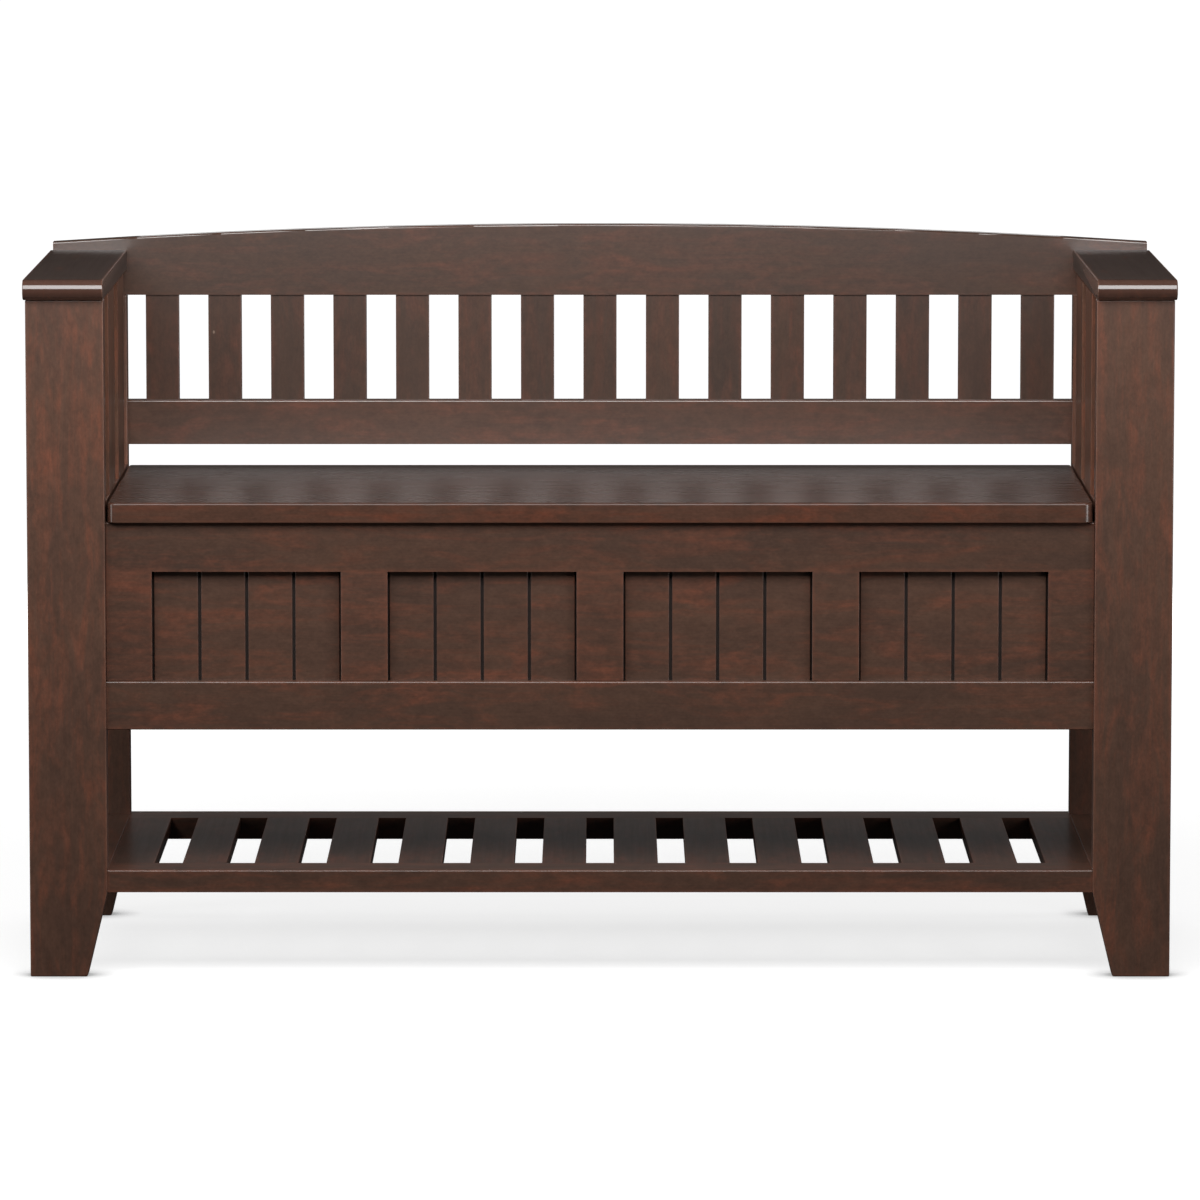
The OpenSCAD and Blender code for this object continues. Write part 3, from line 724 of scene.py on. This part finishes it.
dress("apron_frame", stainFinish, xAxis, apronLook["ease"], boards=apronBoards(),
      lighter=[apronLook["topRailLighter"]]
      + [apronLook["stilesLighter"]] * (apronLook["windows"] + 2))
dress("apron_bottom_rail", stainFinish, xAxis, apronLook["bottomRailEase"], lengthwise(xAxis),
      lighter=apronLook["bottomRailLighter"])
dressPanel()
dress("box_back", stainFinish, xAxis, boxLook["backEase"])
dress("box_floor", plainFinish, xAxis, boxLook["floorEase"])
dress("floor_cleats", plainFinish, xAxis, boxLook["cleatEase"])
dress("shelf_front_rail", stainFinish, xAxis, shelfLook["railEase"], lengthwise(xAxis),
      lighter=shelfLook["frontRailLighter"])
dress("shelf_back_rail", stainFinish, xAxis, shelfLook["railEase"], lengthwise(xAxis))
dressLid()
print("box, apron, lid and shelf rails ready")

for node in ("hinge_box_leaves", "hinge_lid_leaves", "hinge_pins", "stay_box_pins",
             "stay_lid_brackets", "stay_arm_left", "stay_arm_right"):
    dress(node, steelFinish, None, steelLook["ease"])


screwLook = {
    "headRadius": 0.0036,
    "headHeight": 0.0015,
    "headAngles": (0, 14, 28, 42, 56),      # degrees, the rings of the domed head
    "shankRadius": 0.0019,
    "tipRadius": 0.0004,
    "tipLength": 0.003,
    "length": 0.014,
    "around": 32,
    "crossLength": 0.0019,
    "crossWidth": 0.0005,                   # half of a slot
    "crossDepth": 0.0011,
    "crossTaper": 0.6,
    "crossDrop": 0.35,                      # the cross's rim follows the dome
    "sharpAngle": 35,
}


def screwMesh(look):
    # A round-headed screw along +Z, seat at the origin, with a cross recess
    bm = bmesh.new()
    around, radius, top = look["around"], look["headRadius"], look["headHeight"]
    shank = look["shankRadius"]
    profile = [(look["tipRadius"], -look["length"]),
               (shank, look["tipLength"] - look["length"]), (shank, 0)]
    profile += [(radius * cos(radians(a)), top * sin(radians(a))) for a in look["headAngles"]]
    turns = [2 * pi * k / around for k in range(around)]
    rows = [[bm.verts.new((r * cos(t), r * sin(t), z)) for t in turns] for r, z in profile]
    bm.faces.new(rows[0][::-1])
    for lower, upper in zip(rows, rows[1:]):
        for k in range(around):
            after = (k + 1) % around
            bm.faces.new((lower[k], lower[after], upper[after], upper[k]))
    arm, half = look["crossLength"], look["crossWidth"]
    cross = [(arm, -half), (arm, half), (half, half), (half, arm), (-half, arm), (-half, half),
             (-arm, half), (-arm, -half), (-half, -half), (-half, -arm), (half, -arm),
             (half, -half)]
    drop, taper, bottom = look["crossDrop"], look["crossTaper"], top - look["crossDepth"]
    rim = [bm.verts.new((x, y, top * (1 - drop * (x * x + y * y) / radius ** 2)))
           for x, y in cross]
    pit = [bm.verts.new((x * taper, y * taper, bottom)) for x, y in cross]
    corners = len(cross)
    for k in range(corners):
        after = (k + 1) % corners
        bm.faces.new((rim[after], rim[k], pit[k], pit[after]))
    bm.faces.new(pit)
    last = rows[-1]
    loops = [bm.edges.get((last[k], last[(k + 1) % around])) for k in range(around)]
    loops += [bm.edges.get((rim[k], rim[(k + 1) % corners])) for k in range(corners)]
    bmesh.ops.triangle_fill(bm, use_beauty=True, edges=loops)
    bmesh.ops.recalc_face_normals(bm, faces=bm.faces)
    for e in bm.edges:
        e.smooth = e.calc_face_angle(0) < radians(look["sharpAngle"])
    for face in bm.faces:
        face.smooth = True
    mesh = bpy.data.meshes.new("screw")
    bm.to_mesh(mesh)
    bm.free()
    mesh.materials.append(steelFinish)
    return mesh


screw = screwMesh(screwLook)


def driveScrew(name, place, outward, turn, body):
    piece = bpy.data.objects.new(name, screw.copy())
    bpy.context.scene.collection.objects.link(piece)
    aim = Vector(outward).to_track_quat("Z", "X").to_matrix().to_4x4()
    piece.matrix_world = Matrix.Translation(place) @ aim @ Matrix.Rotation(turn, 4, "Z")
    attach(piece, body)


hingeLook = {
    "middles": (-0.3805, 0, 0.3805),
    "leafWidth": 0.062,                     # the screws stand a third of it off the middle
    "leafFaceY": 0.189,
    "screwZs": {"Box": 0.47095, "Lid": 0.49855},
}
bracketLook = {
    "screwX": 0.5017,
    "middleY": 0.0717129,
    "plateLength": 0.044,                   # and here a third of this
    "faceZ": 0.486,
}

ways = (-1, 1)
letters = "ab"
backward, downward = (0, 1, 0), (0, 0, -1)
dice = random.Random("screws")
for i, middle in enumerate(hingeLook["middles"]):
    for letter, way in zip(letters, ways):
        x = middle + way * hingeLook["leafWidth"] / 3
        for leaf, body in (("Box", "frame"), ("Lid", "lid")):
            driveScrew(f"hingeScrew{leaf}{i + 1}{letter}",
                       (x, hingeLook["leafFaceY"], hingeLook["screwZs"][leaf]),
                       backward, dice.uniform(0, pi / 2), body)
for side, way in zip(sides, ways):
    for letter, along in zip(letters, ways):
        y = bracketLook["middleY"] + along * bracketLook["plateLength"] / 3
        driveScrew(f"bracketScrew{side.capitalize()}{letter}",
                   (way * bracketLook["screwX"], y, bracketLook["faceZ"]),
                   downward, dice.uniform(0, pi / 2), "lid")
print("hardware and screws ready")


# Studio: a white floor that glows a little, with a painted shadow round each foot, a long
# softbox close in front, a box and a strip at the sides, one overhead, fills for the sides and
# the back that no gloss mirrors, and faint strips behind that shine on the seat, shelf and arch

studioLook = {
    "floorHalf": 60,
    "floorPaint": 0.34,
    "floorRoughness": 0.95,
    "glowNear": 0.74,                       # round the bench, where the lamps add the rest
    "glowFar": 1.05,
    "glowReach": (1.0, 3.2),                # near ends and far begins this far from the middle
    "contactReach": 0.032,                  # of the painted shadow round each foot
    "contactDark": 0.55,
    "contactFrom": 0.45,                    # openness at which the painted shadow is darkest
    "contactSamples": 8,
    "air": 0.018,                           # brightness of the room all round
    "lamps": {
        # place, aim, width and height, brightness, whether gloss mirrors it, and its tint
        "frontBox": ((-0.2, -1.11, 1.34), (-0.2, -0.21, 0.73), (2.5, 0.80), 6.6, True),
        "seatBack": ((0, 2.2, 0.81), (0, 0, 0.81), (2.4, 0.28), 0.084, True, (1, 0.88, 0.83)),
        "archBack": ((0, 0.47, 0.80), (0, 0.2, 0.78), (1.06, 0.07), 0.70, True),
        "shelfBack": ((0, 0.9, 0.24), (0, 0, 0.24), (1.8, 0.22), 0.060, True),
        "rightBox": ((2.2, -1.9, 0.75), (0.55, -0.2, 0.5), (0.9, 1.2), 4.0, True),
        "leftStrip": ((-2.3, -0.75, 0.80), (0, -0.1, 0.55), (0.8, 1.5), 2.7, True),
        "overhead": ((0.2, 0.0, 3.4), (0, 0, 0), (2.4, 1.8), 1.6, False),
        "backFill": ((0.3, 2.3, 2.7), (0, 0.2, 0.4), (2.4, 1.0), 3.0, False),
        "backLow": ((0, 3.4, 0.5), (0, 0.2, 0.42), (2.8, 0.7), 7.0, False),
        "rightLow": ((2.9, 0.45, 0.42), (0.6, 0.05, 0.40), (0.9, 0.7), 11.0, False),
        "leftLow": ((-2.9, 0.45, 0.42), (-0.6, 0.05, 0.40), (0.9, 0.7), 11.0, False),
    },
}


def whiteFloor(look):
    material, tree = newMaterial("whiteFloor")
    place = addNode(tree, "TexCoord").outputs["Object"]
    away = feed(tree, addNode(tree, "VectorMath", operation="LENGTH"), _0=place).outputs["Value"]
    glow = remap(tree, away, *look["glowReach"], look["glowNear"], look["glowFar"])
    # A painted contact shadow darkens the floor's paint and glow round each foot
    openness = feed(tree, addNode(tree, "AmbientOcclusion", samples=look["contactSamples"]),
                    Distance=look["contactReach"]).outputs["AO"]
    near = remap(tree, openness, look["contactFrom"], 1.0, 1 - look["contactDark"], 1.0)
    show(tree, Base_Color=grey(tree, product(tree, near, look["floorPaint"])),
         Roughness=look["floorRoughness"], Specular_IOR_Level=0.0,
         Emission_Color=(1, 1, 1, 1), Emission_Strength=product(tree, glow, near))
    return material


def buildFloor(look):
    mesh = bpy.data.meshes.new("floor")
    half = look["floorHalf"]
    corners = [(-half, -half, 0), (half, -half, 0), (half, half, 0), (-half, half, 0)]
    mesh.from_pydata(corners, [], [(0, 1, 2, 3)])
    mesh.materials.append(whiteFloor(look))
    floor = bpy.data.objects.new("floor", mesh)
    bpy.context.scene.collection.objects.link(floor)
    # The glow is for the picture alone and lights nothing
    floor.visible_diffuse = False
    floor.visible_glossy = False


def buildAir(look):
    world = bpy.data.worlds.new("studioAir")
    bpy.context.scene.world = world
    world.use_nodes = True
    background = world.node_tree.nodes["Background"]
    feed(world.node_tree, background, Color=(1, 1, 1, 1), Strength=look["air"])


def softbox(name, place, aim, size, brightness, mirrored, tint=(1, 1, 1)):
    width, height = size
    data = bpy.data.lights.new(name, "AREA")
    data.shape = "RECTANGLE"
    data.size, data.size_y = width, height
    data.energy = brightness * pi * width * height
    data.color = tint
    lamp = bpy.data.objects.new(name, data)
    bpy.context.scene.collection.objects.link(lamp)
    lamp.location = place
    lamp.rotation_euler = (Vector(aim) - Vector(place)).to_track_quat("-Z", "Y").to_euler()
    lamp.visible_camera = False
    lamp.visible_glossy = mirrored


# Camera: a long lens far off and a little above, tilted down

cameraLook = {
    "distance": 8.264,                      # from the legs' front faces
    "height": 1.391,
    "tilt": 6.797,                          # degrees below level
    "lens": 234.6,                          # millimetres, on a picture this wide
    "pictureWidth": 36,
    "farthest": 200,
}


def placeCamera(look):
    data = bpy.data.cameras.new("camera")
    camera = bpy.data.objects.new("camera", data)
    bpy.context.scene.collection.objects.link(camera)
    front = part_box("front_leg_left")[0].y
    camera.location = (0, front - look["distance"], look["height"])
    camera.rotation_euler = (radians(90 - look["tilt"]), 0, 0)
    data.sensor_width = look["pictureWidth"]
    data.lens = look["lens"]
    data.clip_end = look["farthest"]
    bpy.context.scene.camera = camera


buildFloor(studioLook)
buildAir(studioLook)
for lampName, lamp in studioLook["lamps"].items():
    softbox(lampName, *lamp)
bpy.context.scene.view_settings.view_transform = "Standard"
placeCamera(cameraLook)
print("studio and camera ready")
